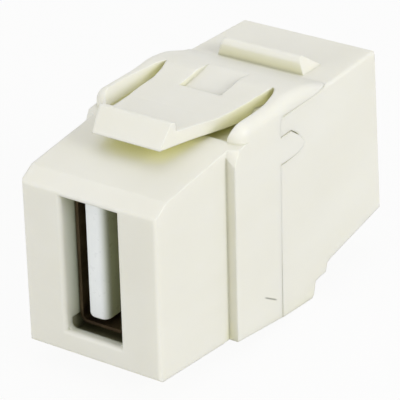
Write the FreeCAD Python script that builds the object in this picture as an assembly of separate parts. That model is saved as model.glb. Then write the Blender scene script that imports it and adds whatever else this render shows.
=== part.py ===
import FreeCAD, Part
import os
from FreeCAD import Vector

# Keystone coupler with two socket receptacles, in millimetres.
# X is the width, +Y runs from the front face to the rear, +Z is up.
# The shape is drawn with Y = 0 on the front face and Z = 0 on the nose's lower front edge,
# then moved so that the origin is on the front port's axis in the plane of the shoulder.

# Nose that passes through the panel
NOSE_HALF = 7.25
NOSE_FACE_TOP = 15.9
BEVEL_DEEP = 1.65
BEVEL_TOP = 16.9
SHOULDER_Y = 10.6
NOSE_TOP_REAR = 18.02
NOSE_LOW_REAR = -0.72
FRONT_WALL = 2.0
WALL = 1.25

# Body behind the shoulder
BODY_HALF = 8.2
PARTING_Y = 18.0
SEAM = 0.08
SEAM_ROUND = 0.45
BODY_LOW_REAR = -1.64
CORNER_CUT_Z = 17.49
CORNER_FACING = (0.51, -1.06, 0.54)

# Ears, saddle and latch tongue
EAR_Y = 11.95
EAR_TOP = 19.9
EAR_FRONT_R = 1.2
EAR_FOOT = 6.55
EAR_SPREAD = 1.0
EAR_SLOPE_LOW = 18.6
EAR_SLOPE_TOP = 20.8
EAR_ROUND = 1.0
CREST_Y = 20.2
CREST_TOP = 20.12
SADDLE_Y = 22.5
SADDLE_TOP = 19.88
SADDLE_GAP = 0.15
SADDLE_END_Y = 26.2
SLOT_END_Y = 20.4
SLOT_MIDDLE = 5.85
SLIT = 0.16
CHANNEL_FLOOR = 17.6
ROOT_FLOOR = 18.75
TIP_Y = 5.8
TIP_LOW = 19.1
TIP_TOP = 21.2
TONGUE_TOP = 19.72
TONGUE_FRONT_TOP = 20.25
TONGUE_JOIN_Y = 16.6
CATCH_Y = 8.0
TONGUE_LOW = 18.7
ROOT_LOW = 18.15
TIP_HALF = 3.62
TONGUE_HALF = 4.05
POCKET_HALF = 2.25
POCKET_Y = 17.2
POCKET_END_Y = 22.6
POCKET_DEEP = 0.62

# Rear housing
REAR_Y = 36.0
REAR_LEAN = 0.4
DECK_TOP = 18.5
REAR_HALF_TOP = 7.4
REAR_HALF_LOW = 8.1
REAR_LOW = 2.2
BAR_Y = 27.1
BAR_LONG = 3.1
BAR_HIGH = 1.65
BAR_HALF_LOW = 4.75
BAR_HALF_TOP = 4.25

# Side tab that locks the two housings together
TAB_END_Y = 21.88
TAB_LOW = 13.98
TAB_TOP = 16.6
TAB_GAP = 0.08

# Receptacles
PORT_HALF_X = 3.0
PORT_HALF_Z = 6.7
PORT_LEAD = 0.4
SILL = 0.95
RECESS_HALF = 3.45
RECESS_DEEP = 0.95
RECESS_END_Y = 5.0
FRONT_AXIS_Z = 8.85
REAR_AXIS_Z = 9.9
REAR_MOUTH_DEEP = 2.35
SHELL_HALF_X = 2.86
SHELL_HALF_Z = 6.55
SHEET = 0.3
SHELL_LONG = 14.0
TONGUE_THICK = 1.84
TONGUE_HALF_Z = 5.8
TONGUE_LEAD = 0.7
BLOCK_LONG = 4.2
CONTACT_WIDE = 1.0
CONTACT_THICK = 0.25
CONTACT_PLACES = (-3.5, -1.0, 1.0, 3.5)
TAIL_BACK = 1.2

# Circuit board beside the two receptacles
BOARD_X = SHELL_HALF_X + 0.1
BOARD_THICK = 1.0
BOARD_HOLE = 1.24
BOARD_FRONT_Y = 9.7
BOARD_REAR_Y = 27.4

ORIGIN = Vector(0, SHOULDER_Y, FRONT_AXIS_Z)


def prism_x(points, x0, x1):
    """Solid with the given outline in Y and Z, from x0 to x1."""
    corners = [Vector(x0, y, z) for y, z in points]
    face = Part.Face(Part.makePolygon(corners + corners[:1]))
    return face.extrude(Vector(x1 - x0, 0, 0))


def prism_z(points, z0, z1):
    """Solid with the given outline in X and Y, from z0 to z1."""
    corners = [Vector(x, y, z0) for x, y in points]
    face = Part.Face(Part.makePolygon(corners + corners[:1]))
    return face.extrude(Vector(0, 0, z1 - z0))


def block(x0, x1, y0, y1, z0, z1):
    return Part.makeBox(x1 - x0, y1 - y0, z1 - z0, Vector(x0, y0, z0))


def round_edges(shape, radius, wanted):
    """Fillets the edges for which wanted(bounding box) is true."""
    edges = [e for e in shape.Edges if wanted(e.BoundBox)]
    return shape.makeFillet(radius, edges)


def along_y(box):
    return box.YLength > 1 and box.XLength < 0.01 and box.ZLength < 0.01


def tunnel(half_x, half_z, axis_z, y0, y1, radius):
    """Rounded rectangular prism along Y around a port's axis."""
    body = block(-half_x, half_x, y0, y1, axis_z - half_z, axis_z + half_z)
    return round_edges(body, radius, along_y)


def smooth_curve(path, before):
    """Curve through the points; it leaves along the edge before it unless there is a sharp corner."""
    curve = Part.BSplineCurve()
    chord = (path[1] - path[0]).normalize()
    direction = before.tangentAt(before.LastParameter)
    if direction.dot(chord) > 0.98:
        known = [True] + [False] * (len(path) - 1)
        curve.interpolate(Points=path, Tangents=[direction] * len(path), TangentFlags=known)
    else:
        curve.interpolate(path)
    return curve.toShape()


def outline(place, start, runs):
    """Face inside straight runs (one point), arcs (two points) and smooth curves (more points)."""
    edges = []
    last = start
    for points in runs:
        path = [place(*last)] + [place(*p) for p in points]
        if len(path) == 2:
            edges.append(Part.makeLine(path[0], path[1]))
        elif len(path) == 3:
            edges.append(Part.Arc(*path).toShape())
        else:
            edges.append(smooth_curve(path, edges[-1]))
        last = points[-1]
    return Part.Face(Part.Wire(edges))


def smooth_profile(start, runs, x0, x1):
    """Solid along X whose outline in Y and Z may be curved."""
    face = outline(lambda y, z: Vector(x0, y, z), start, runs)
    return face.extrude(Vector(x1 - x0, 0, 0))


def mirrored(half):
    """The given half and its mirror image in X = 0, as one solid."""
    return half.fuse(half.mirror(Vector(0, 0, 0), Vector(1, 0, 0))).removeSplitter()


def smooth_plan(start, runs, z0, z1):
    """Upright solid, alike on both sides of X = 0, from the right half of its outline in X and Y."""
    face = outline(lambda x, y: Vector(x, y, z0), start, runs)
    return mirrored(face.extrude(Vector(0, 0, z1 - z0)))


def tab(grow, x0, x1):
    """Rounded side tab that reaches from the front housing into the rear one."""
    low = TAB_LOW - grow
    top = TAB_TOP + grow
    end = TAB_END_Y + grow
    return smooth_profile(
        (PARTING_Y - 1.0, low),
        [[(end - 2.6, low)],
         [(end - 1.3, low + 0.04), (end - 0.3, low + 0.32), (end, low + 0.66), (end - 0.2, low + 1.1),
          (end - 1.0, top - 0.77), (end - 2.1, top)],
         [(PARTING_Y - 1.0, top)],
         [(PARTING_Y - 1.0, low)]],
        x0, x1)


def nose_top(y):
    """Height of the nose's sloping top, which carries on behind the shoulder as far as the ears."""
    slope = (NOSE_TOP_REAR - BEVEL_TOP) / (SHOULDER_Y - BEVEL_DEEP)
    return BEVEL_TOP + slope * (y - BEVEL_DEEP)


def crown():
    """Ears and saddle as one profile: rounded ear fronts, a low crest and a fall to the deck."""
    seam_top = DECK_TOP + SADDLE_GAP
    seam_round = SEAM_ROUND + SEAM
    bow = seam_round * (1 - 0.5 ** 0.5)
    ear_bow = EAR_FRONT_R * (1 - 0.5 ** 0.5)
    shape = smooth_profile(
        (EAR_Y, 16.4),
        [[(EAR_Y, EAR_TOP - EAR_FRONT_R)],
         [(EAR_Y + ear_bow, EAR_TOP - ear_bow), (EAR_Y + EAR_FRONT_R, EAR_TOP)],
         [(17.2, EAR_TOP)],
         [(18.2, EAR_TOP + 0.05), (19.2, CREST_TOP - 0.08), (CREST_Y, CREST_TOP), (21.3, CREST_TOP - 0.07),
          (SADDLE_Y, SADDLE_TOP), (24.3, 19.33), (SADDLE_END_Y, seam_top + 0.12)],
         [(SADDLE_END_Y, seam_top)],
         [(PARTING_Y + seam_round, seam_top)],
         [(PARTING_Y + bow, seam_top - bow), (PARTING_Y, seam_top - seam_round)],
         [(PARTING_Y, 16.4)],
         [(EAR_Y, 16.4)]],
        -BODY_HALF, BODY_HALF)
    return round_edges(shape, EAR_ROUND, lambda b: b.XLength < 0.01 and b.ZMax > EAR_TOP + 0.1)


def shoulder_corners():
    """Slanted cuts that take the upper outer corners off the shoulder."""
    across, along, upward = CORNER_FACING
    corners = []
    for x, y in ((6.3, 9.5), (9.0, 9.5), (9.0, 13.0), (6.3, 13.0)):
        fall = (across * (x - NOSE_HALF) + along * (y - SHOULDER_Y)) / upward
        corners.append(Vector(x, y, CORNER_CUT_Z - fall))
    face = Part.Face(Part.makePolygon(corners + corners[:1]))
    cut = face.extrude(Vector(0, 0, 10))
    return cut.fuse(cut.mirror(Vector(0, 0, 0), Vector(1, 0, 0)))


def latch_plan():
    """The latch seen from above: narrow at the tip, widening to the root, where the slots close to a slit."""
    root = SLOT_MIDDLE - SLIT / 2
    front = TIP_Y - 0.2
    rear = SLOT_END_Y + 1
    return smooth_plan(
        (0, front),
        [[(TIP_HALF, front)],
         [(TONGUE_HALF, CATCH_Y + 0.8)],
         [(4.6, 12.0), (4.95, 14.0), (5.15, 16.4), (5.27, 17.8), (5.5, 19.1), (root, 20.2), (root, rear)],
         [(0, rear)],
         [(0, front)]],
        15, 25)


def ear_space(spread, z):
    """Right half of the outline between the ears at one height; spread moves the ear's wall outward."""
    root = SLOT_MIDDLE + SLIT / 2
    front = EAR_Y - 1
    return outline(
        lambda x, y: Vector(x, y, z),
        (0, front),
        [[(EAR_FOOT + spread, front)],
         [(EAR_FOOT - 0.05 + spread, 14.5), (EAR_FOOT - 0.1 + 0.85 * spread, 17.0),
          (EAR_FOOT - 0.2 + 0.5 * spread, 18.6), (EAR_FOOT - 0.33 + 0.2 * spread, 19.7), (root, SLOT_END_Y)],
         [(0, SLOT_END_Y)],
         [(0, front)]]).OuterWire


def latch_channel(latch):
    """Space between the ears and around the latch: sloping ear walls, a floor, and a lip in front."""
    low = ear_space(0, EAR_SLOPE_LOW)
    slope = Part.makeLoft([low, ear_space(EAR_SPREAD, EAR_SLOPE_TOP)], True, True)
    foot = Part.Face(low).extrude(Vector(0, 0, 15 - EAR_SLOPE_LOW))
    space = mirrored(slope.fuse(foot))
    lip_y = EAR_Y + 0.2
    floor = prism_x(
        [(SHOULDER_Y, 10), (SHOULDER_Y, NOSE_TOP_REAR), (lip_y, nose_top(lip_y)), (lip_y + 0.3, CHANNEL_FLOOR),
         (PARTING_Y - 1, CHANNEL_FLOOR), (PARTING_Y, ROOT_FLOOR), (SLOT_END_Y + 1, ROOT_FLOOR),
         (SLOT_END_Y + 1, 10)],
        -20, 20)

    # The latch's rear half is cut free from the crown and dips below it in front of the crest
    dip = smooth_profile(
        (TONGUE_JOIN_Y - 1, TONGUE_TOP),
        [[(17.2, TONGUE_TOP)],
         [(18.2, TONGUE_TOP + 0.12), (19.2, CREST_TOP - 0.18), (20.0, CREST_TOP),
          (SLOT_END_Y, CREST_TOP + 0.06)],
         [(SLOT_END_Y, 32)],
         [(TONGUE_JOIN_Y - 1, 32)],
         [(TONGUE_JOIN_Y - 1, TONGUE_TOP)]],
        -9, 9)
    kept = latch.common(block(-9, 9, TONGUE_JOIN_Y, SLOT_END_Y + 1, ROOT_LOW, 31)).cut(dip)
    return space.cut(floor).cut(kept)


def mouth_lead():
    """Space in front of the port whose sides and lower edge round inward to the bore."""
    bow = PORT_LEAD * (1 - 0.5 ** 0.5)
    low = FRONT_AXIS_Z - PORT_HALF_Z
    top = FRONT_AXIS_Z + PORT_HALF_Z
    across = smooth_plan(
        (0, -1),
        [[(PORT_HALF_X + PORT_LEAD, -1)],
         [(PORT_HALF_X + PORT_LEAD, 0)],
         [(PORT_HALF_X + bow, bow), (PORT_HALF_X, PORT_LEAD)],
         [(0, PORT_LEAD)],
         [(0, -1)]],
        low - 1, top)
    upright = smooth_profile(
        (-1, top),
        [[(-1, low - PORT_LEAD)],
         [(0, low - PORT_LEAD)],
         [(bow, low - bow), (PORT_LEAD, low)],
         [(PORT_LEAD, top)],
         [(-1, top)]],
        -9, 9)
    return across.common(upright)


def front_housing():
    nose_rear = EAR_Y + 0.4
    nose = prism_x(
        [(0, 0), (0, NOSE_FACE_TOP), (BEVEL_DEEP, BEVEL_TOP), (nose_rear, nose_top(nose_rear)),
         (nose_rear, NOSE_LOW_REAR), (SHOULDER_Y - 1.1, NOSE_LOW_REAR)],
        -NOSE_HALF, NOSE_HALF)
    nose = round_edges(nose, 0.35, lambda b: b.YMax < 0.01)

    body = prism_x(
        [(SHOULDER_Y, NOSE_LOW_REAR), (SHOULDER_Y, NOSE_TOP_REAR), (PARTING_Y, nose_top(PARTING_Y)),
         (PARTING_Y, BODY_LOW_REAR)],
        -BODY_HALF, BODY_HALF)

    # Front half of the latch: a profile with the catch step, crossed with the plan
    latch = latch_plan()
    front_half = prism_x(
        [(TIP_Y, TIP_LOW), (TIP_Y + 1.5, TIP_TOP - 0.08), (TIP_Y + 1.7, TIP_TOP),
         (CATCH_Y - 0.1, TIP_TOP - 0.08), (CATCH_Y, TONGUE_FRONT_TOP), (EAR_Y + 1, TONGUE_TOP),
         (TONGUE_JOIN_Y, TONGUE_TOP), (TONGUE_JOIN_Y, ROOT_LOW), (CATCH_Y + 2.75, TONGUE_LOW)],
        -8, 8)
    tongue = front_half.common(latch)
    pocket = prism_x(
        [(POCKET_Y, TONGUE_TOP - POCKET_DEEP), (POCKET_Y, 22), (POCKET_END_Y, 22),
         (POCKET_END_Y, SADDLE_TOP + 0.2)],
        -POCKET_HALF, POCKET_HALF)

    solid = nose.fuse([body.cut(shoulder_corners()), crown()]).cut(latch_channel(latch))

    # Coring from the rear, with a tube left standing around the receptacle
    nose_core = prism_x(
        [(FRONT_WALL, 1.3), (FRONT_WALL, 15.2), (SHOULDER_Y + 1.6, 15.7), (SHOULDER_Y + 1.6, 0.8)],
        -NOSE_HALF + WALL, NOSE_HALF - WALL)
    body_core = prism_x(
        [(SHOULDER_Y + WALL, 0.75), (SHOULDER_Y + WALL, 15.7), (PARTING_Y + 1, 15.7), (PARTING_Y + 1, 0.2)],
        -BODY_HALF + WALL, BODY_HALF - WALL)
    tube = block(-PORT_HALF_X - 1.1, PORT_HALF_X + 1.1, 1.6, 9.2, 1.0, 16.3)
    bore = tunnel(PORT_HALF_X, PORT_HALF_Z, FRONT_AXIS_Z, -1, PARTING_Y, 0.5)
    recess_low = FRONT_AXIS_Z - PORT_HALF_Z - RECESS_DEEP
    recess = block(
        -RECESS_HALF, RECESS_HALF, SILL, RECESS_END_Y, recess_low, recess_low + 2 * RECESS_DEEP)
    solid = solid.cut(nose_core.fuse(body_core)).fuse([tube, tongue]).cut(bore.fuse([recess, mouth_lead()]))

    # Fixed catch under the nose, opposite the latch
    catch = prism_x([(3.4, -0.2), (CATCH_Y, -1.55), (CATCH_Y, -0.3)], -4.0, 4.0)
    tabs = [tab(0, -BODY_HALF, -BODY_HALF + WALL), tab(0, BODY_HALF - WALL, BODY_HALF)]
    return solid.fuse([catch] + tabs).cut(pocket).removeSplitter()


def section(y, half_low, half_top, low, top, lean=0.0):
    """Closed trapezium across the rear housing; its top edge may lean forward."""
    corners = [Vector(-half_low, y, low), Vector(half_low, y, low), Vector(half_top, y - lean, top),
               Vector(-half_top, y - lean, top)]
    return Part.makePolygon(corners + corners[:1])


def rear_housing():
    start = PARTING_Y + SEAM
    low = -2.3
    outer = Part.makeLoft(
        [section(start, BODY_HALF, BODY_HALF - 0.12, low, DECK_TOP),
         section(REAR_Y, REAR_HALF_LOW, REAR_HALF_TOP, low, DECK_TOP, REAR_LEAN)], True, True)
    outer = round_edges(
        outer, 0.3, lambda b: b.YMin > REAR_Y - 1.5 or (b.YLength > 10 and b.ZMin > DECK_TOP - 0.1))
    bow = SEAM_ROUND * (1 - 0.5 ** 0.5)
    corner = smooth_profile(
        (start - 1, DECK_TOP - SEAM_ROUND),
        [[(start, DECK_TOP - SEAM_ROUND)],
         [(start + bow, DECK_TOP - bow), (start + SEAM_ROUND, DECK_TOP)],
         [(start + SEAM_ROUND, DECK_TOP + 1)],
         [(start - 1, DECK_TOP + 1)],
         [(start - 1, DECK_TOP - SEAM_ROUND)]],
        -20, 20)
    underside = prism_x(
        [(start - 1, -1.62), (23.1, -2.05), (23.45, -1.8), (23.8, -0.55), (24.4, -0.42), (25.6, -0.36),
         (25.95, 0.5), (26.6, 0.7), (REAR_Y + 0.5, REAR_LOW + 0.1), (REAR_Y + 0.5, -6), (start - 1, -6)],
        -20, 20)
    outer = outer.cut(underside.fuse(corner))

    core = prism_x(
        [(start - 1, -0.35), (22.4, -0.75), (22.4, 0.85), (24.7, 0.85), (24.7, 1.85), (26.5, 1.95),
         (REAR_Y - FRONT_WALL, 3.4), (REAR_Y - FRONT_WALL, 17.2), (start - 1, 17.2)],
        -6.0, 6.0)
    shoulder_core = prism_x(
        [(start - 1, 0.9), (26.0, 2.4), (26.0, 17.2), (start - 1, 17.2)], -BODY_HALF + WALL, BODY_HALF - WALL)
    tube = block(-PORT_HALF_X - 1.1, PORT_HALF_X + 1.1, 28.3, REAR_Y - 1, 1.5, 17.8).common(outer)
    bore = tunnel(PORT_HALF_X, PORT_HALF_Z, REAR_AXIS_Z, start - 2, REAR_Y + 1, 0.5)
    solid = outer.cut(core.fuse(shoulder_core)).fuse(tube).cut(bore)

    # Grip bar on the deck: upright front face, rounded crest, slanted ends, top falling away to the rear
    bar = smooth_profile(
        (BAR_Y, DECK_TOP - 0.5),
        [[(BAR_Y, DECK_TOP + BAR_HIGH - 0.6)],
         [(BAR_Y + 0.2, DECK_TOP + BAR_HIGH - 0.16), (BAR_Y + 0.65, DECK_TOP + BAR_HIGH)],
         [(BAR_Y + BAR_LONG, DECK_TOP)],
         [(BAR_Y + BAR_LONG, DECK_TOP - 0.5)],
         [(BAR_Y, DECK_TOP - 0.5)]],
        -BAR_HALF_LOW, BAR_HALF_LOW)
    ends = section(BAR_Y - 1, BAR_HALF_LOW, BAR_HALF_TOP, DECK_TOP, DECK_TOP + BAR_HIGH)
    bar = bar.common(Part.Face(ends).extrude(Vector(0, BAR_LONG + 2, 0)))

    # Slots for the side tabs, open below and at the end and touching along the top
    slots = tab(TAB_GAP, -BODY_HALF - 1, -BODY_HALF + WALL + 0.3)
    slots = slots.fuse(tab(TAB_GAP, BODY_HALF - WALL - 0.3, BODY_HALF + 1))
    slots.translate(Vector(0, TAB_GAP, -TAB_GAP))
    return solid.fuse(bar).cut(slots).removeSplitter()


def contact(z, grow=0.0):
    """Spring contact of a receptacle with its mouth at Y = 0; grow gives the groove that it lies in."""
    t = CONTACT_THICK
    back = SHELL_LONG + TAIL_BACK
    tail = BOARD_X + BOARD_THICK + 0.9
    strip = [(0.02, 2.6), (0.4, 4.2), (0.02, 6.9), (0.02, back), (tail, back), (tail, back - t),
             (0.02 + t, back - t), (0.02 + t, 6.93), (0.4 + t, 4.2), (0.02 + t, 2.6)]
    if grow:
        strip = [(0, 2.3), (0, back + grow), (tail, back + grow), (tail, back - t - grow),
                 (0.45 + t, back - t - grow), (0.45 + t, 2.3)]
    half = CONTACT_WIDE / 2 + grow
    return prism_z(strip, z - half, z + half)


def shell():
    """Folded sleeve with spring fingers in both wide walls and two legs for the board."""
    outer = tunnel(SHELL_HALF_X, SHELL_HALF_Z, 0, 0, SHELL_LONG, 0.75)
    inner = tunnel(SHELL_HALF_X - SHEET, SHELL_HALF_Z - SHEET, 0, -1, SHELL_LONG + 1, 0.45)
    sleeve = outer.cut(inner)
    slots = []
    for z in (-2.6, 2.6):
        window = block(-9, 9, 3.0, 8.0, z - 1.1, z + 1.1)
        finger = block(-10, 10, 3.4, 9.0, z - 0.75, z + 0.75)
        slots.append(window.cut(finger))
    sleeve = sleeve.cut(slots[0].fuse(slots[1]))
    legs = []
    for side in (-1, 1):
        z = side * (SHELL_HALF_Z - SHEET / 2)
        leg_end = BOARD_X + BOARD_THICK + 0.8
        legs.append(block(SHELL_HALF_X - 1.2, leg_end, 10.6, 12.6, z - SHEET / 2, z + SHEET / 2))
    return sleeve.fuse(legs).removeSplitter()


def insulator():
    """Tongue with rounded edges, and the block that closes the rear of the sleeve."""
    tongue = block(-TONGUE_THICK, 0, 0.1, SHELL_LONG - 1, -TONGUE_HALF_Z, TONGUE_HALF_Z)
    tongue = round_edges(tongue, 0.45, lambda b: along_y(b) and b.XMax < -0.5)
    tongue = round_edges(tongue, TONGUE_LEAD, lambda b: b.YMax < 0.2 and b.XMin > -0.01 and b.ZLength > 5)
    half_x = SHELL_HALF_X - SHEET - 0.04
    half_z = SHELL_HALF_Z - SHEET - 0.04
    rear = tunnel(half_x, half_z, 0, SHELL_LONG - BLOCK_LONG, SHELL_LONG + TAIL_BACK + 0.4, 0.45)
    body = tongue.fuse(rear)
    for z in CONTACT_PLACES:
        body = body.cut(contact(z, 0.04))
    return body.removeSplitter()


def octagon(y, z):
    """Eight-sided hole for a contact's tail."""
    half = BOARD_HOLE / 2
    cut = half * (2 ** 0.5 - 1)
    quarter = [(half, -cut), (half, cut), (cut, half), (-cut, half)]
    points = quarter + [(-a, -b) for a, b in quarter]
    return prism_x([(y + a, z + b) for a, b in points], BOARD_X - 1, BOARD_X + 3)


def board():
    plate = prism_x(
        [(BOARD_FRONT_Y, 1.75), (BOARD_FRONT_Y, 15.45), (PARTING_Y + 0.6, 15.45), (PARTING_Y + 1.8, 17.0),
         (BOARD_REAR_Y, 17.0), (BOARD_REAR_Y, 2.8), (PARTING_Y + 1.8, 2.8), (PARTING_Y + 0.8, 1.75)],
        BOARD_X, BOARD_X + BOARD_THICK)
    holes = []
    for place in (front_place, rear_place):
        for z in CONTACT_PLACES:
            holes.append(place(octagon(SHELL_LONG + TAIL_BACK - CONTACT_THICK / 2, z)))
        for side in (-1, 1):
            z = side * (SHELL_HALF_Z - SHEET / 2)
            holes.append(place(block(BOARD_X - 1, BOARD_X + 3, 10.5, 12.7, z - 0.25, z + 0.25)))
    return plate.cut(holes[0].fuse(holes[1:]))


def front_place(shape):
    """Puts a receptacle piece behind the front wall, mouth forward."""
    moved = shape.copy()
    moved.translate(Vector(0, FRONT_WALL, FRONT_AXIS_Z))
    return moved


def rear_place(shape):
    """Turns a receptacle piece about X so that its mouth faces the rear."""
    moved = shape.copy()
    moved.rotate(Vector(0, 0, 0), Vector(1, 0, 0), 180)
    moved.translate(Vector(0, REAR_Y - REAR_MOUTH_DEEP, REAR_AXIS_Z))
    return moved


nodes = {
    "front_housing": front_housing(),
    "rear_housing": rear_housing(),
    "circuit_board": board(),
    "front_shell": front_place(shell()),
    "rear_shell": rear_place(shell()),
    "front_insulator": front_place(insulator()),
    "rear_insulator": rear_place(insulator()),
}
for number, place_z in enumerate(CONTACT_PLACES, start=1):
    nodes[f"front_contact_{number}"] = front_place(contact(place_z))
    nodes[f"rear_contact_{number}"] = rear_place(contact(place_z))

os.makedirs("parts", exist_ok=True)
for name, shape in nodes.items():
    shape.translate(ORIGIN.negative())
    if len(shape.Solids) == 1:
        shape = shape.Solids[0]
    box = shape.BoundBox
    print(name, shape.ShapeType, len(shape.Solids), shape.isValid(), len(shape.Faces), round(shape.Volume, 2),
          [round(v, 2) for v in (box.XMin, box.XMax, box.YMin, box.YMax, box.ZMin, box.ZMax)])
    shape.exportStep(f"parts/{name}.step")
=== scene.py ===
# %% [markdown]
# # A keystone coupler in a white studio
#
# The object is a small ivory moulding that snaps into a wall plate. A socket opens at each end, so one
# cable plugs in from the room and another from behind the wall. Its solids come from a CAD model that is
# already exact, so this lesson adds what a solid lacks: finishes, worn edges, a few small studs, light and
# a camera.

# %% Load the solids
import math
import bpy
from mathutils import Matrix, Vector


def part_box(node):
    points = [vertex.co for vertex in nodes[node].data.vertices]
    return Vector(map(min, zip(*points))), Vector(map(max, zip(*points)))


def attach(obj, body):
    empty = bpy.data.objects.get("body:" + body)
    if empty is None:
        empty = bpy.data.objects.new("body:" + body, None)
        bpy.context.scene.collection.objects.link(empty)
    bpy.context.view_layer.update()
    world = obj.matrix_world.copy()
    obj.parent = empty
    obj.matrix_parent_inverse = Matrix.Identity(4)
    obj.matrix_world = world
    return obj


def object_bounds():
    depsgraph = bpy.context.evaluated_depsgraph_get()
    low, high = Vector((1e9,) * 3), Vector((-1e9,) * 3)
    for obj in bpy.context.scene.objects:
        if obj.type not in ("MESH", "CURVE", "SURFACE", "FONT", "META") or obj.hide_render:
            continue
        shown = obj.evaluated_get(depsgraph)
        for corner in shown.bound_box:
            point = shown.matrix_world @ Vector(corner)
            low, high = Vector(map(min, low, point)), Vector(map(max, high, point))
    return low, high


MM = 0.001

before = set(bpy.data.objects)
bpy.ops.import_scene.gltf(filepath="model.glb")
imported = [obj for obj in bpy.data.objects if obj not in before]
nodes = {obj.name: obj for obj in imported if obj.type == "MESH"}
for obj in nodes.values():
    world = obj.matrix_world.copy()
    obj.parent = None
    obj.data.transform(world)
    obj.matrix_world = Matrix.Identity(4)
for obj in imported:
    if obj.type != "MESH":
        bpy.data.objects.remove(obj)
cad_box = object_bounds()
print("nodes:", ", ".join(sorted(nodes)))
print("size in mm:", [round((high - low) / MM, 2) for low, high in zip(*cad_box)])

# %% [markdown]
# ## The camera
#
# The picture was taken from the right, a little above, with a long lens: the edges that run back hardly
# converge. A camera could be aimed by eye, but one degree already moves the outline by a few pixels. So the
# angles, the distance and the focal length were solved together with the object's sizes, from corners
# measured in the picture, and then refined until the outline of the solids covered the one in the picture.
# Blender takes the lens and the sensor in millimetres, and every other length in metres.

# %% Place the camera
CAMERA_TURN = math.radians(35.23)
CAMERA_RISE = math.radians(26.62)
CAMERA_ROLL = math.radians(-1.49)
CAMERA_AWAY = 231.5 * MM
CAMERA_LENS = 230.55
SENSOR_WIDE = 36
NEAREST_SEEN = 10 * MM
LOOK_AT = Vector((2.00, 3.4, 1.67)) * MM


def camera_axes(turn, rise, roll):
    """Right, up and backward of a camera that circles the object and tilts about its own view."""
    right = Vector((math.cos(turn), math.sin(turn), 0))
    up = Vector((-math.sin(turn) * math.sin(rise), math.cos(turn) * math.sin(rise), math.cos(rise)))
    back = Vector((math.sin(turn) * math.cos(rise), -math.cos(turn) * math.cos(rise), math.sin(rise)))
    rolled_right = math.cos(roll) * right + math.sin(roll) * up
    rolled_up = math.cos(roll) * up - math.sin(roll) * right
    return rolled_right, rolled_up, back


right, up, back = camera_axes(CAMERA_TURN, CAMERA_RISE, CAMERA_ROLL)
camera_data = bpy.data.cameras.new("studio_camera")
camera_data.lens = CAMERA_LENS
camera_data.sensor_width = SENSOR_WIDE
camera_data.clip_start = NEAREST_SEEN
camera = bpy.data.objects.new("studio_camera", camera_data)
bpy.context.scene.collection.objects.link(camera)
axes = Matrix((right, up, back)).transposed().to_4x4()
camera.matrix_world = Matrix.Translation(LOOK_AT + back * CAMERA_AWAY) @ axes
bpy.context.scene.camera = camera
bpy.context.scene.view_settings.view_transform = "Standard"
print("camera at", [round(v, 4) for v in camera.matrix_world.translation])

# %% [markdown]
# ## Small helpers for node materials
#
# Every finish below is a short chain of nodes that reads Object coordinates, so a pattern has a real size in
# metres and stays on the piece. A chain could be written out node by node, but then the wiring hides the
# idea. Three helpers take it over: one adds a node, one starts a material, and one links what every finish
# has, which is a colour, a roughness and a normal.

# %% Nodes and links
def add_node(tree, kind, inputs=None, **properties):
    """Adds a node with its properties set; each input is linked to a socket or set to a value."""
    node = tree.nodes.new(kind)
    for name, value in properties.items():
        setattr(node, name, value)
    for name, source in (inputs or {}).items():
        if isinstance(source, bpy.types.NodeSocket):
            tree.links.new(source, node.inputs[name])
        else:
            node.inputs[name].default_value = source
    return node


def start_material(name):
    """A material with only a Principled shader; gives its tree, shader and Object coordinates too."""
    material = bpy.data.materials.new(name)
    material.use_nodes = True
    tree = material.node_tree
    tree.nodes.clear()
    shader = add_node(tree, "ShaderNodeBsdfPrincipled")
    add_node(tree, "ShaderNodeOutputMaterial", {"Surface": shader.outputs["BSDF"]})
    place = add_node(tree, "ShaderNodeTexCoord").outputs["Object"]
    return material, tree, shader, place


def dress(tree, shader, colour, rough, normal):
    """Links a finish to its shader."""
    for name, source in (("Base Color", colour), ("Roughness", rough), ("Normal", normal)):
        tree.links.new(source, shader.inputs[name])


print("helpers:", ", ".join(helper.__name__ for helper in (add_node, start_material, dress)))

# %% [markdown]
# Five more helpers make the patterns. Grain is a noise with grains of a real size. Spread maps a pattern
# to a range of numbers, and tint to a mix of two colours. Two shares can be multiplied, and any pattern can
# become a bump, which tilts the surface's normal without moving the surface. The Mix node has sockets for
# numbers, vectors and colours under the same names, so those for colours are taken by their index.

# %% Patterns
NOISE_SPAN = (0.3, 0.7)
MIX_SHARE = 0
MIX_FIRST = 6
MIX_SECOND = 7
MIX_RESULT = 2


def grain(tree, place, size, detail, stretch=(1, 1, 1)):
    """Noise with grains of about this size in metres, longer along the axes that are stretched."""
    mapping = add_node(tree, "ShaderNodeMapping", {"Vector": place, "Scale": [1 / s for s in stretch]})
    noise = add_node(tree, "ShaderNodeTexNoise", {
        "Vector": mapping.outputs["Vector"], "Scale": 1 / size, "Detail": detail})
    return noise.outputs["Fac"]


def spread(tree, value, low, high, within=NOISE_SPAN):
    """Maps a value that runs within two limits to the numbers from low to high."""
    start, end = within
    node = add_node(tree, "ShaderNodeMapRange", {
        "Value": value, "From Min": start, "From Max": end, "To Min": low, "To Max": high})
    return node.outputs["Result"]


def tint(tree, share, first, second):
    """Mixes two colours by a share from 0 to 1; a colour is three numbers or another node's output."""
    node = add_node(tree, "ShaderNodeMix", {MIX_SHARE: share}, data_type="RGBA")
    for index, colour in ((MIX_FIRST, first), (MIX_SECOND, second)):
        if isinstance(colour, bpy.types.NodeSocket):
            tree.links.new(colour, node.inputs[index])
        else:
            node.inputs[index].default_value = (*colour, 1)
    return node.outputs[MIX_RESULT]


def both(tree, first, second):
    """Two shares multiplied: 1 only where both are."""
    return add_node(tree, "ShaderNodeMath", {0: first, 1: second}, operation="MULTIPLY").outputs[0]


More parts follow.
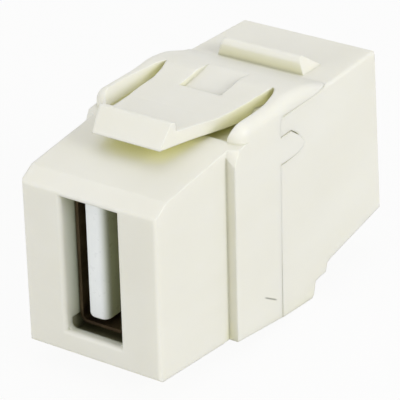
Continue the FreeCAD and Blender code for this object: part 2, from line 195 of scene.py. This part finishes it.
def bump(tree, height, strength, distance, normal=None):
    """Normal of a surface with this height pattern, on top of another normal if one is given."""
    inputs = {"Height": height, "Strength": strength, "Distance": distance}
    if normal is not None:
        inputs["Normal"] = normal
    return add_node(tree, "ShaderNodeBump", inputs).outputs["Normal"]


print("patterns:", ", ".join(helper.__name__ for helper in (grain, spread, tint, both, bump)))

# %% [markdown]
# ## Ivory plastic
#
# Both housings are moulded in an ivory plastic. Light seems to enter it, bounce about in the narrow places
# and come out yellower, so slots are olive where the open faces are cream. This shade is painted into the
# colour. It could be painted on by hand, face by face. The Ambient Occlusion node is surer: it measures how
# closed in a point is, and a colour is mixed in by that. A long reach finds the slots, which get a painted
# yellow shade, and a short reach finds the inner corners, which get a darker painted shade. Deep in a slot
# the corners count less, as if light that comes through the thin plastic filled them.

# %% Closed-in places
# Painted shade: a yellow one for the slots and a dark one for the inner corners.
IVORY_SHADE = (0.815, 0.798, 0.440)
IVORY_CORNER_SHADE = (0.340, 0.330, 0.215)
SHADE_REACH = 4.5 * MM
CORNER_REACH = 0.75 * MM
SHADE_SKY = (0.08, 0.62)
CORNER_SKY = (0.05, 0.74)
SLOT_SKY = (0.03, 0.25)
CORNER_IN_SLOT = 0.25
SKY_SAMPLES = 12


def open_sky(tree, reach):
    """How much open space a point sees within reach: 1 on a free face, near 0 deep in a slot."""
    sky = add_node(tree, "ShaderNodeAmbientOcclusion", {"Distance": reach}, samples=SKY_SAMPLES)
    return sky.outputs["AO"]


def painted_closed_in_shade(tree, colour, far_sky):
    """Mixes a painted shade of the slots and a darker painted shade of the inner corners into a colour."""
    shade = spread(tree, far_sky, 1.0, 0.0, within=SHADE_SKY)
    corner = spread(tree, open_sky(tree, CORNER_REACH), 1.0, 0.0, within=CORNER_SKY)
    not_in_slot = spread(tree, far_sky, CORNER_IN_SLOT, 1.0, within=SLOT_SKY)
    shaded = tint(tree, shade, colour, IVORY_SHADE)
    return tint(tree, both(tree, corner, not_in_slot), shaded, IVORY_CORNER_SHADE)


print("reach of the shade in mm:", SHADE_REACH / MM, "and", CORNER_REACH / MM)

# %% [markdown]
# Two marks have a fixed place, and Object coordinates give it. The walls of the ports get a painted shade
# and a painted reflection of the cold white tongues, so they grow greyer with depth; the groove behind the
# sill gets a darker painted shade. Low on each side is a short hairline, which may show where an inner snap
# meets the wall. Both could be painted, but slabs keep real sizes: a slab is 1 between two parallel planes
# and 0 outside, and slabs multiplied make a box.

# %% Port walls and hairline
PORT_MIDDLE = Vector((0, 7.4, -0.4)) * MM
PORT_HALF = Vector((3.6, 18.0, 7.4)) * MM
PORT_FADE = Vector((0.05, 3.0, 0.05)) * MM
HAIRLINE_MIDDLE = Vector((0, 5.45, -7.66)) * MM
HAIRLINE_SLANT = math.radians(29.67)
HAIRLINE_HALF_LONG = 1.27 * MM
HAIRLINE_END_FADE = 0.5 * MM
HAIRLINE_HALF_WIDE = 0.10 * MM
HAIRLINE_SIDE_FADE = 0.06 * MM


def slab(tree, value, middle, half, fade):
    """1 near the middle of a coordinate and 0 from the distance half on, with a fading border between."""
    offset = add_node(tree, "ShaderNodeMath", {0: value, 1: middle}, operation="SUBTRACT")
    away = add_node(tree, "ShaderNodeMath", {0: offset.outputs[0]}, operation="ABSOLUTE")
    return spread(tree, away.outputs[0], 1.0, 0.0, within=(half - fade, half))


def port_shade_mask(tree, place):
    """Where the port walls get painted shade: 0 on the outer faces and at the ports' mouths, 1 on the ports'
    walls a few millimetres in.
    """
    coordinates = add_node(tree, "ShaderNodeSeparateXYZ", {"Vector": place}).outputs
    across, along, upward = (
        slab(tree, *row) for row in zip(coordinates, PORT_MIDDLE, PORT_HALF, PORT_FADE))
    return both(tree, both(tree, along, across), upward)


def hairline(tree, place):
    """1 on a short slanted line low on each side face."""
    along = Vector((0, math.cos(HAIRLINE_SLANT), -math.sin(HAIRLINE_SLANT)))
    across = Vector((0, math.sin(HAIRLINE_SLANT), math.cos(HAIRLINE_SLANT)))
    shares = []
    for direction, half, fade in ((along, HAIRLINE_HALF_LONG, HAIRLINE_END_FADE),
                                  (across, HAIRLINE_HALF_WIDE, HAIRLINE_SIDE_FADE)):
        measure = add_node(tree, "ShaderNodeVectorMath", {0: place, 1: direction}, operation="DOT_PRODUCT")
        middle = HAIRLINE_MIDDLE.dot(direction)
        shares.append(slab(tree, measure.outputs["Value"], middle, half, fade))
    return both(tree, *shares)


print("port walls fade over", round(PORT_FADE.y / MM, 2), "mm")

# %% [markdown]
# Edges that fingers and wall plates rub become paler, and their paler colour also stands as a painted
# highlight. The Bevel node finds them, because its rounded normal turns away from the true one only there.
# The colour is then laid in coats, each over the one before: the flow marks of the melt, the worn edges with
# their painted highlight, the painted closed-in shades, the painted shade of the port walls and the
# hairline.

# %% Ivory colour
IVORY = (0.815, 0.806, 0.735)
IVORY_DEEP = (0.790, 0.778, 0.695)
# The pale edge colour is edge wear and a painted highlight.
IVORY_WORN_AND_HIGHLIT = (0.900, 0.892, 0.810)
# The port colour and the groove colour are painted shade.
IVORY_PORT_SHADE = (0.480, 0.545, 0.400)
IVORY_GROOVE_SHADE = (0.150, 0.138, 0.066)
HAIRLINE = (0.330, 0.325, 0.270)
GROOVE_SKY = (0.20, 0.45)
EDGE_TURN = (0.72, 0.985)


def worn_and_highlit_edges(tree, rounded):
    """1 on edges, where the rounded normal turns away from the true one; these edges get wear and a painted
    highlight.
    """
    true_normal = add_node(tree, "ShaderNodeNewGeometry").outputs["Normal"]
    same = add_node(tree, "ShaderNodeVectorMath", {0: rounded, 1: true_normal}, operation="DOT_PRODUCT")
    return spread(tree, same.outputs["Value"], 1.0, 0.0, within=EDGE_TURN)


def ivory_colour(tree, place, rounded):
    """The coats of the ivory, from the flow marks to the hairline."""
    flow = spread(tree, grain(tree, place, size=7 * MM, detail=3, stretch=(1, 3, 1)), 0.0, 1.0)
    worn_and_highlit = tint(tree, worn_and_highlit_edges(tree, rounded), tint(tree, flow, IVORY, IVORY_DEEP), IVORY_WORN_AND_HIGHLIT)
    far_sky = open_sky(tree, SHADE_REACH)
    shaded = painted_closed_in_shade(tree, worn_and_highlit, far_sky)
    # The port walls and the groove get painted shade here.
    port = tint(tree, spread(tree, far_sky, 1.0, 0.0, within=GROOVE_SKY), IVORY_PORT_SHADE, IVORY_GROOVE_SHADE)
    with_port_shade = tint(tree, port_shade_mask(tree, place), shaded, port)
    return tint(tree, hairline(tree, place), with_port_shade, HAIRLINE)


print("ivory:", IVORY, "to", IVORY_DEEP, "and on worn edges", IVORY_WORN_AND_HIGHLIT)

# %% [markdown]
# Moulds for such parts are often spark eroded, so the faces carry a grain that is felt more than seen, and
# thick walls sink a little as they cool. Both are too shallow to model, so they are bumps over the rounded
# normal. A subsurface share lets some light into the plastic, which softens the shading.

# %% Ivory plastic
EDGE_ROUND = 0.24 * MM
EDGE_SAMPLES = 8
PLASTIC_IOR = 1.52
GLOW_SHARE = 0.30
GLOW_RADIUS = (1.0, 0.97, 0.78)
GLOW_DEPTH = 1.4 * MM


def ivory_plastic():
    """Moulded ivory with rounded edges, sink marks and an eroded skin."""
    material, tree, shader, place = start_material("ivory_moulded_plastic")
    bevel = add_node(tree, "ShaderNodeBevel", {"Radius": EDGE_ROUND}, samples=EDGE_SAMPLES)
    rounded = bevel.outputs["Normal"]
    rough = spread(tree, grain(tree, place, size=1.8 * MM, detail=4), low=0.40, high=0.52)
    sink_marks = grain(tree, place, size=5 * MM, detail=1)
    sunk = bump(tree, sink_marks, strength=0.25, distance=0.10 * MM, normal=rounded)
    pits = grain(tree, place, size=0.11 * MM, detail=3)
    eroded = bump(tree, pits, strength=0.22, distance=0.012 * MM, normal=sunk)
    dress(tree, shader, ivory_colour(tree, place, rounded), rough, eroded)
    shader.inputs["IOR"].default_value = PLASTIC_IOR
    shader.inputs["Subsurface Weight"].default_value = GLOW_SHARE
    shader.inputs["Subsurface Radius"].default_value = GLOW_RADIUS
    shader.inputs["Subsurface Scale"].default_value = GLOW_DEPTH
    return material


def finish_nodes(material, wanted):
    """Gives a finish to every node whose name holds the wanted word."""
    finished = [name for name in nodes if wanted in name]
    for name in finished:
        for slot in nodes[name].material_slots:
            slot.material = material
    print(material.name, "on", ", ".join(finished))


finish_nodes(ivory_plastic(), "housing")

# %% [markdown]
# ## Sleeves
#
# Inside each port a folded metal sleeve holds a white tongue with four gilt contacts. The sleeve is drawn
# sheet, so its fine lines run along the port. They could be modelled as scratches, but a noise stretched
# forty times that way is lighter, and it moves both the roughness and the bump. The metal's dark brown
# colour, in clouds, is painted: the darkness is painted shade of the closed port, and the brown a painted
# reflection of the ivory.

# %% Sleeve metal
# Both colours are painted: the darkness is shade inside the closed ports, and the brown a reflection of the
# ivory.
SLEEVE_SHADE_LIGHT = (0.175, 0.126, 0.080)
SLEEVE_SHADE_DARK = (0.100, 0.072, 0.046)


def sleeve_metal():
    """Drawn sheet with lines along the port, in a clouded dark brown that is painted shade and a painted
    reflection of the ivory.
    """
    material, tree, shader, place = start_material("drawn_sleeve_metal")
    lines = grain(tree, place, size=0.08 * MM, detail=3, stretch=(1, 40, 1))
    shade_clouds = spread(tree, grain(tree, place, size=2.5 * MM, detail=4), 0.0, 1.0)
    colour = tint(tree, shade_clouds, SLEEVE_SHADE_LIGHT, SLEEVE_SHADE_DARK)
    rough = spread(tree, lines, low=0.34, high=0.50)
    drawn = bump(tree, lines, strength=0.15, distance=0.006 * MM)
    dress(tree, shader, colour, rough, drawn)
    shader.inputs["Metallic"].default_value = 1.0
    return material


finish_nodes(sleeve_metal(), "shell")

# %% [markdown]
# ## White tongues
#
# The tongue is usually a glossy heat-proof plastic, here with a cold white. Behind its tip the tongue looks
# a little green and darker, and this is painted into the colour: a painted shade of the inside of the port,
# tinted green like light bounced off the ivory. A second material would end in a hard line, so the green is
# mixed in by depth. The insulators' own boxes say where the tips are, and a slab between the two tips is 1
# everywhere but near them.

# %% White plastic
WHITE_CLEAN = (0.93, 0.955, 0.960)
WHITE_CLOUDED = (0.89, 0.920, 0.935)
# This colour is painted shade inside the ports.
WHITE_PAINTED_SHADE = (0.740, 0.800, 0.480)
WHITE_FADE = 1.0 * MM
TONGUE_ROUND = 0.10 * MM
TONGUE_SAMPLES = 6


def behind_tips(tree, place):
    """0 at the tips of the two tongues, 1 from a millimetre behind them."""
    front_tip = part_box("front_insulator")[0].y
    rear_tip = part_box("rear_insulator")[1].y
    depth = add_node(tree, "ShaderNodeSeparateXYZ", {"Vector": place}).outputs["Y"]
    return slab(tree, depth, (rear_tip + front_tip) / 2, (rear_tip - front_tip) / 2, WHITE_FADE)


def white_plastic():
    """Cold white with faint clouds and rounded edges, with a greener painted shade behind the tips."""
    material, tree, shader, place = start_material("cold_white_plastic")
    cloud = spread(tree, grain(tree, place, size=2.2 * MM, detail=3), 0.0, 1.0)
    clean = tint(tree, cloud, WHITE_CLEAN, WHITE_CLOUDED)
    colour = tint(tree, behind_tips(tree, place), clean, WHITE_PAINTED_SHADE)
    rough = spread(tree, grain(tree, place, size=0.6 * MM, detail=3), low=0.26, high=0.36)
    bevel = add_node(tree, "ShaderNodeBevel", {"Radius": TONGUE_ROUND}, samples=TONGUE_SAMPLES)
    ripple = grain(tree, place, size=0.2 * MM, detail=2)
    skin = bump(tree, ripple, strength=0.04, distance=0.01 * MM, normal=bevel.outputs["Normal"])
    dress(tree, shader, colour, rough, skin)
    return material


finish_nodes(white_plastic(), "insulator")

# %% [markdown]
# ## Contacts and board
#
# Every plug wipes the gilt contacts along the port, so their fine scratches run that way. The board is woven
# glass under a green lacquer. Scratches and threads could be cut into the meshes, but that would cost many
# thousands of faces. Stretched noises stand for them, and a broader one gives the lacquer's gloss.

# %% Contact gold and board lacquer
GOLD_BRIGHT = (0.86, 0.63, 0.27)
GOLD_WORN = (0.72, 0.50, 0.20)
LACQUER_DARK = (0.02, 0.15, 0.06)
LACQUER_PALE = (0.03, 0.20, 0.08)


def contact_gold():
    """Gilt metal with wiped scratches along the port."""
    material, tree, shader, place = start_material("gilt_contact")
    wipe = grain(tree, place, size=0.12 * MM, detail=3, stretch=(1, 12, 1))
    colour = tint(tree, spread(tree, wipe, 0.0, 1.0), GOLD_BRIGHT, GOLD_WORN)
    rough = spread(tree, wipe, low=0.20, high=0.34)
    scratched = bump(tree, wipe, strength=0.10, distance=0.006 * MM)
    dress(tree, shader, colour, rough, scratched)
    shader.inputs["Metallic"].default_value = 1.0
    return material


def board_lacquer():
    """Green lacquer over woven glass."""
    material, tree, shader, place = start_material("board_lacquer")
    weave = grain(tree, place, size=0.5 * MM, detail=1, stretch=(1, 1, 4))
    colour = tint(tree, spread(tree, weave, 0.0, 1.0), LACQUER_DARK, LACQUER_PALE)
    rough = spread(tree, grain(tree, place, size=1.5 * MM, detail=3), low=0.22, high=0.34)
    woven = bump(tree, weave, strength=0.15, distance=0.01 * MM)
    dress(tree, shader, colour, rough, woven)
    return material


finish_nodes(contact_gold(), "contact")
finish_nodes(board_lacquer(), "board")

# %% [markdown]
# ## Spring bumps and solder joints
#
# Each sleeve grips the plug with bumps pressed into its four spring fingers, and on the board every contact
# tail and sleeve leg stands in a small cone of solder. Both are round studs that repeat. One stud could be
# modelled and copied by hand, but then each change of size is made again for every copy. A Geometry Nodes
# tree is shorter: its inputs are the foot, the tip and the height, and it sets one softened cone on each
# point, turned along the point's facing.

# %% Stud tree
STUD_SIDES = 12
STUD_STEPS = 2


def stud_tree():
    """A tree that sets one softened cone on each point and gives it the finish."""
    tree = bpy.data.node_groups.new("studs_on_points", "GeometryNodeTree")
    tree.interface.new_socket("Points", in_out="INPUT", socket_type="NodeSocketGeometry")
    for name in ("Foot Radius", "Tip Radius", "Height"):
        tree.interface.new_socket(name, in_out="INPUT", socket_type="NodeSocketFloat")
    tree.interface.new_socket("Finish", in_out="INPUT", socket_type="NodeSocketMaterial")
    tree.interface.new_socket("Studs", in_out="OUTPUT", socket_type="NodeSocketGeometry")
    given = tree.nodes.new("NodeGroupInput").outputs
    cone = add_node(tree, "GeometryNodeMeshCone", {
        "Vertices": STUD_SIDES, "Side Segments": STUD_STEPS, "Fill Segments": 1,
        "Radius Bottom": given["Foot Radius"], "Radius Top": given["Tip Radius"],
        "Depth": given["Height"]})
    soft = add_node(tree, "GeometryNodeSubdivisionSurface", {"Mesh": cone.outputs["Mesh"], "Level": 1})
    facing = add_node(tree, "GeometryNodeInputNamedAttribute", {"Name": "facing"}, data_type="FLOAT_VECTOR")
    turn = add_node(tree, "FunctionNodeAlignRotationToVector", {
        "Vector": facing.outputs["Attribute"]}, axis="Z")
    placed = add_node(tree, "GeometryNodeInstanceOnPoints", {
        "Points": given["Points"], "Instance": soft.outputs["Mesh"], "Rotation": turn.outputs["Rotation"]})
    whole = add_node(tree, "GeometryNodeRealizeInstances", {"Geometry": placed.outputs["Instances"]})
    smooth = add_node(tree, "GeometryNodeSetShadeSmooth", {"Geometry": whole.outputs["Geometry"]})
    finished = add_node(tree, "GeometryNodeSetMaterial", {
        "Geometry": smooth.outputs["Geometry"], "Material": given["Finish"]})
    add_node(tree, "NodeGroupOutput", {"Studs": finished.outputs["Geometry"]})
    return tree


studs = stud_tree()
print("stud inputs:", ", ".join(s.name for s in studs.interface.items_tree if s.in_out == "INPUT"))

# %% [markdown]
# A tree needs something to stand on. The points are a mesh of single vertices, and each vertex carries the
# direction that its stud faces. The sizes go to the modifier under the sockets' identifiers, the result is
# copied to a plain mesh, and the modifier is dropped, so the piece is ordinary geometry when it joins the
# model. The cone node brings an empty first material slot with it, which is taken out of the copy. Softening
# draws the foot in a little, so a stud is set slightly below the face that carries it, and no gap is left.

# %% Set studs on points
SINK = 0.03 * MM


def stud_points(name, places):
    """A mesh with one vertex for each (point, facing) place, a little below the carrying face."""
    mesh = bpy.data.meshes.new(name)
    mesh.from_pydata([Vector(point) - SINK * Vector(facing) for point, facing in places], [], [])
    facings = mesh.attributes.new("facing", "FLOAT_VECTOR", "POINT")
    for row, (_, facing) in zip(facings.data, places):
        row.vector = facing
    return mesh


def set_studs(name, places, given):
    """Studs on (point, facing) places, as one plain mesh that rides with the object."""
    points = stud_points(name + "_points", places)
    piece = bpy.data.objects.new(name, points)
    bpy.context.scene.collection.objects.link(piece)
    modifier = piece.modifiers.new("studs", "NODES")
    modifier.node_group = studs
    for socket in studs.interface.items_tree:
        if socket.name in given:
            modifier[socket.identifier] = given[socket.name]
    shown = piece.evaluated_get(bpy.context.evaluated_depsgraph_get())
    plain = bpy.data.meshes.new_from_object(shown)
    plain.name = name
    plain.materials.pop(index=0)
    piece.modifiers.clear()
    piece.data = plain
    bpy.data.meshes.remove(points)
    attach(piece, "root")
    print(name, "faces:", len(plain.polygons), "material:", plain.materials[0].name)


print("studs are sunk by", round(SINK / MM, 3), "mm")

# %% [markdown]
# The sleeves' own boxes say where their mouths and axes are, so the bumps keep their place if the CAD model
# changes. A finger's free end is 3.4 mm behind the mouth, and its bump stands just behind that, on the inner
# face.

# %% Spring bumps
SHEET = 0.30 * MM
BUMP_BEHIND_MOUTH = 4.3 * MM
FINGER_FROM_AXIS = 2.6 * MM


def sleeve_bumps(node, inward):
    """Places of the bumps in one sleeve; inward is +1 where the port is entered along +Y."""
    low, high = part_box(node)
    mouth = low.y if inward > 0 else high.y
    axis_z = (low.z + high.z) / 2
    wall = -low.x - SHEET
    places = []
    for side in (-1, 1):
        for finger in (-1, 1):
            point = (side * wall, mouth + inward * BUMP_BEHIND_MOUTH, axis_z + finger * FINGER_FROM_AXIS)
            places.append((point, (-side, 0, 0)))
    return places


set_studs("spring_bumps", sleeve_bumps("front_shell", 1) + sleeve_bumps("rear_shell", -1), {
    "Foot Radius": 0.62 * MM, "Tip Radius": 0.24 * MM, "Height": 0.30 * MM,
    "Finish": bpy.data.materials["drawn_sleeve_metal"]})

# %% [markdown]
# Solder wets the pad and climbs the tail, so its cone has a wide foot and a narrow tip. It sets with a
# satin, faintly wrinkled skin, so one fine noise moves its colour, its roughness and its bump.

# %% Solder finish
SOLDER_BRIGHT = (0.62, 0.63, 0.64)
SOLDER_DULL = (0.48, 0.49, 0.50)


def solder_tin():
    """Satin tin with a wrinkled skin."""
    material, tree, shader, place = start_material("solder_tin")
    wrinkle = grain(tree, place, size=0.25 * MM, detail=4)
    colour = tint(tree, spread(tree, wrinkle, 0.0, 1.0), SOLDER_BRIGHT, SOLDER_DULL)
    rough = spread(tree, wrinkle, low=0.24, high=0.42)
    wrinkled = bump(tree, wrinkle, strength=0.25, distance=0.02 * MM)
    dress(tree, shader, colour, rough, wrinkled)
    shader.inputs["Metallic"].default_value = 1.0
    return material


solder = solder_tin()
print("solder finish:", solder.name)

# %% [markdown]
# The joints sit on the board's outer face. A contact's tail is at the inner end of its own box, and a
# sleeve's two legs stand at the top and bottom of its box, a fixed way behind the mouth.

# %% Solder joints
LEG_BEHIND_MOUTH = 11.6 * MM
CONTACT_THICK = 0.25 * MM
CONTACTS = range(1, 5)
ENDS = (("front", 1), ("rear", -1))


def tail_place(node, inward):
    """Y and Z of a contact's tail; inward is +1 where the port is entered along +Y."""
    low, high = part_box(node)
    y = high.y - CONTACT_THICK / 2 if inward > 0 else low.y + CONTACT_THICK / 2
    return y, (low.z + high.z) / 2


def leg_places(node, inward):
    """Y and Z of a sleeve's lower and upper leg."""
    low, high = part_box(node)
    mouth = low.y if inward > 0 else high.y
    y = mouth + inward * LEG_BEHIND_MOUTH
    return [(y, low.z + SHEET / 2), (y, high.z - SHEET / 2)]


def board_joints():
    """Places of the solder on the board's outer face: eight contact tails and four sleeve legs."""
    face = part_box("circuit_board")[1].x
    places = [tail_place(f"{end}_contact_{number}", inward) for number in CONTACTS for end, inward in ENDS]
    for end, inward in ENDS:
        places += leg_places(f"{end}_shell", inward)
    return [((face, y, z), (1, 0, 0)) for y, z in places]


set_studs("solder_joints", board_joints(), {
    "Foot Radius": 0.85 * MM, "Tip Radius": 0.45 * MM, "Height": 0.60 * MM, "Finish": solder})

# %% [markdown]
# ## The studio
#
# The picture is a white-ground product shot, lit from everywhere. The floor is a pale plane. Its white
# could come from more light, but that would wash out the ivory. Instead the Light Path node tells the rays
# that see the ground from the rays that only fetch its light, and only the first kind get a white that
# shines by itself. A little of the paper is mixed in, and the shadow with it.

# %% Floor
FLOOR_DROP = 0.05 * MM
FLOOR_HALF = 1.5
PAPER = (0.66, 0.66, 0.64, 1)
WHITE = (1, 1, 1, 1)
WHITE_SHARE = 0.93
RAY_SPAN = (0.0, 1.0)


def seen_directly(tree):
    """1 where the camera, a mirror or a clear piece looks at the ground, 0 where it only gives light."""
    path = add_node(tree, "ShaderNodeLightPath")
    seen = path.outputs["Is Camera Ray"]
    for ray in ("Is Glossy Ray", "Is Transmission Ray"):
        larger = add_node(tree, "ShaderNodeMath", {0: seen, 1: path.outputs[ray]}, operation="MAXIMUM")
        seen = larger.outputs[0]
    return seen


def floor_paper():
    """Pale paper that is nearly white where it is seen."""
    material = bpy.data.materials.new("floor_paper")
    material.use_nodes = True
    tree = material.node_tree
    tree.nodes.clear()
    paper = add_node(tree, "ShaderNodeBsdfDiffuse", {"Color": PAPER})
    white = add_node(tree, "ShaderNodeEmission", {"Color": WHITE, "Strength": 1.0})
    share = spread(tree, seen_directly(tree), 0.0, WHITE_SHARE, within=RAY_SPAN)
    mix = add_node(tree, "ShaderNodeMixShader", {0: share, 1: paper.outputs[0], 2: white.outputs[0]})
    add_node(tree, "ShaderNodeOutputMaterial", {"Surface": mix.outputs[0]})
    return material


def studio_floor(z):
    """A wide plane just below the object."""
    mesh = bpy.data.meshes.new("studio_floor")
    corners = [(x * FLOOR_HALF, y * FLOOR_HALF, z) for x, y in ((-1, -1), (1, -1), (1, 1), (-1, 1))]
    mesh.from_pydata(corners, [], [(0, 1, 2, 3)])
    mesh.materials.append(floor_paper())
    floor = bpy.data.objects.new("studio_floor", mesh)
    bpy.context.scene.collection.objects.link(floor)


floor_z = cad_box[0][2] - FLOOR_DROP
studio_floor(floor_z)
print("floor at", round(floor_z / MM, 3), "mm")

# %% [markdown]
# The world is a plain white on all sides. As the only light it would flatten the form, so the same node
# parts its two jobs: seen, it is full white, and as a light it is weaker, which leaves room for lamps. A
# broad key lamp on the right makes that side the palest face. A wide weak lamp overhead and a stronger one
# in front lift the top and the nose.

# %% World and lamps
AMBIENT = 0.58
LAMP_AWAY = 0.6


def studio_world():
    """A white sky that gives less light than it shows."""
    world = bpy.data.worlds.new("studio_world")
    bpy.context.scene.world = world
    world.use_nodes = True
    tree = world.node_tree
    tree.nodes.clear()
    strength = spread(tree, seen_directly(tree), AMBIENT, 1.0, within=RAY_SPAN)
    sky = add_node(tree, "ShaderNodeBackground", {"Color": WHITE, "Strength": strength})
    add_node(tree, "ShaderNodeOutputWorld", {"Surface": sky.outputs[0]})


def soft_lamp(name, toward, size, watts):
    """Square area lamp that looks at the object from a direction."""
    direction = Vector(toward).normalized()
    data = bpy.data.lights.new(name, "AREA")
    data.shape = "SQUARE"
    data.size = size
    data.energy = watts
    lamp = bpy.data.objects.new(name, data)
    bpy.context.scene.collection.objects.link(lamp)
    lamp.location = direction * LAMP_AWAY
    lamp.rotation_euler = direction.to_track_quat("Z", "Y").to_euler()


studio_world()
soft_lamp("key_lamp", toward=(0.87, -0.04, 0.38), size=0.30, watts=1.75)
soft_lamp("top_lamp", toward=(-0.10, 0.25, 1.0), size=0.45, watts=0.52)
soft_lamp("front_lamp", toward=(-0.30, -1.0, 0.24), size=0.30, watts=1.05)
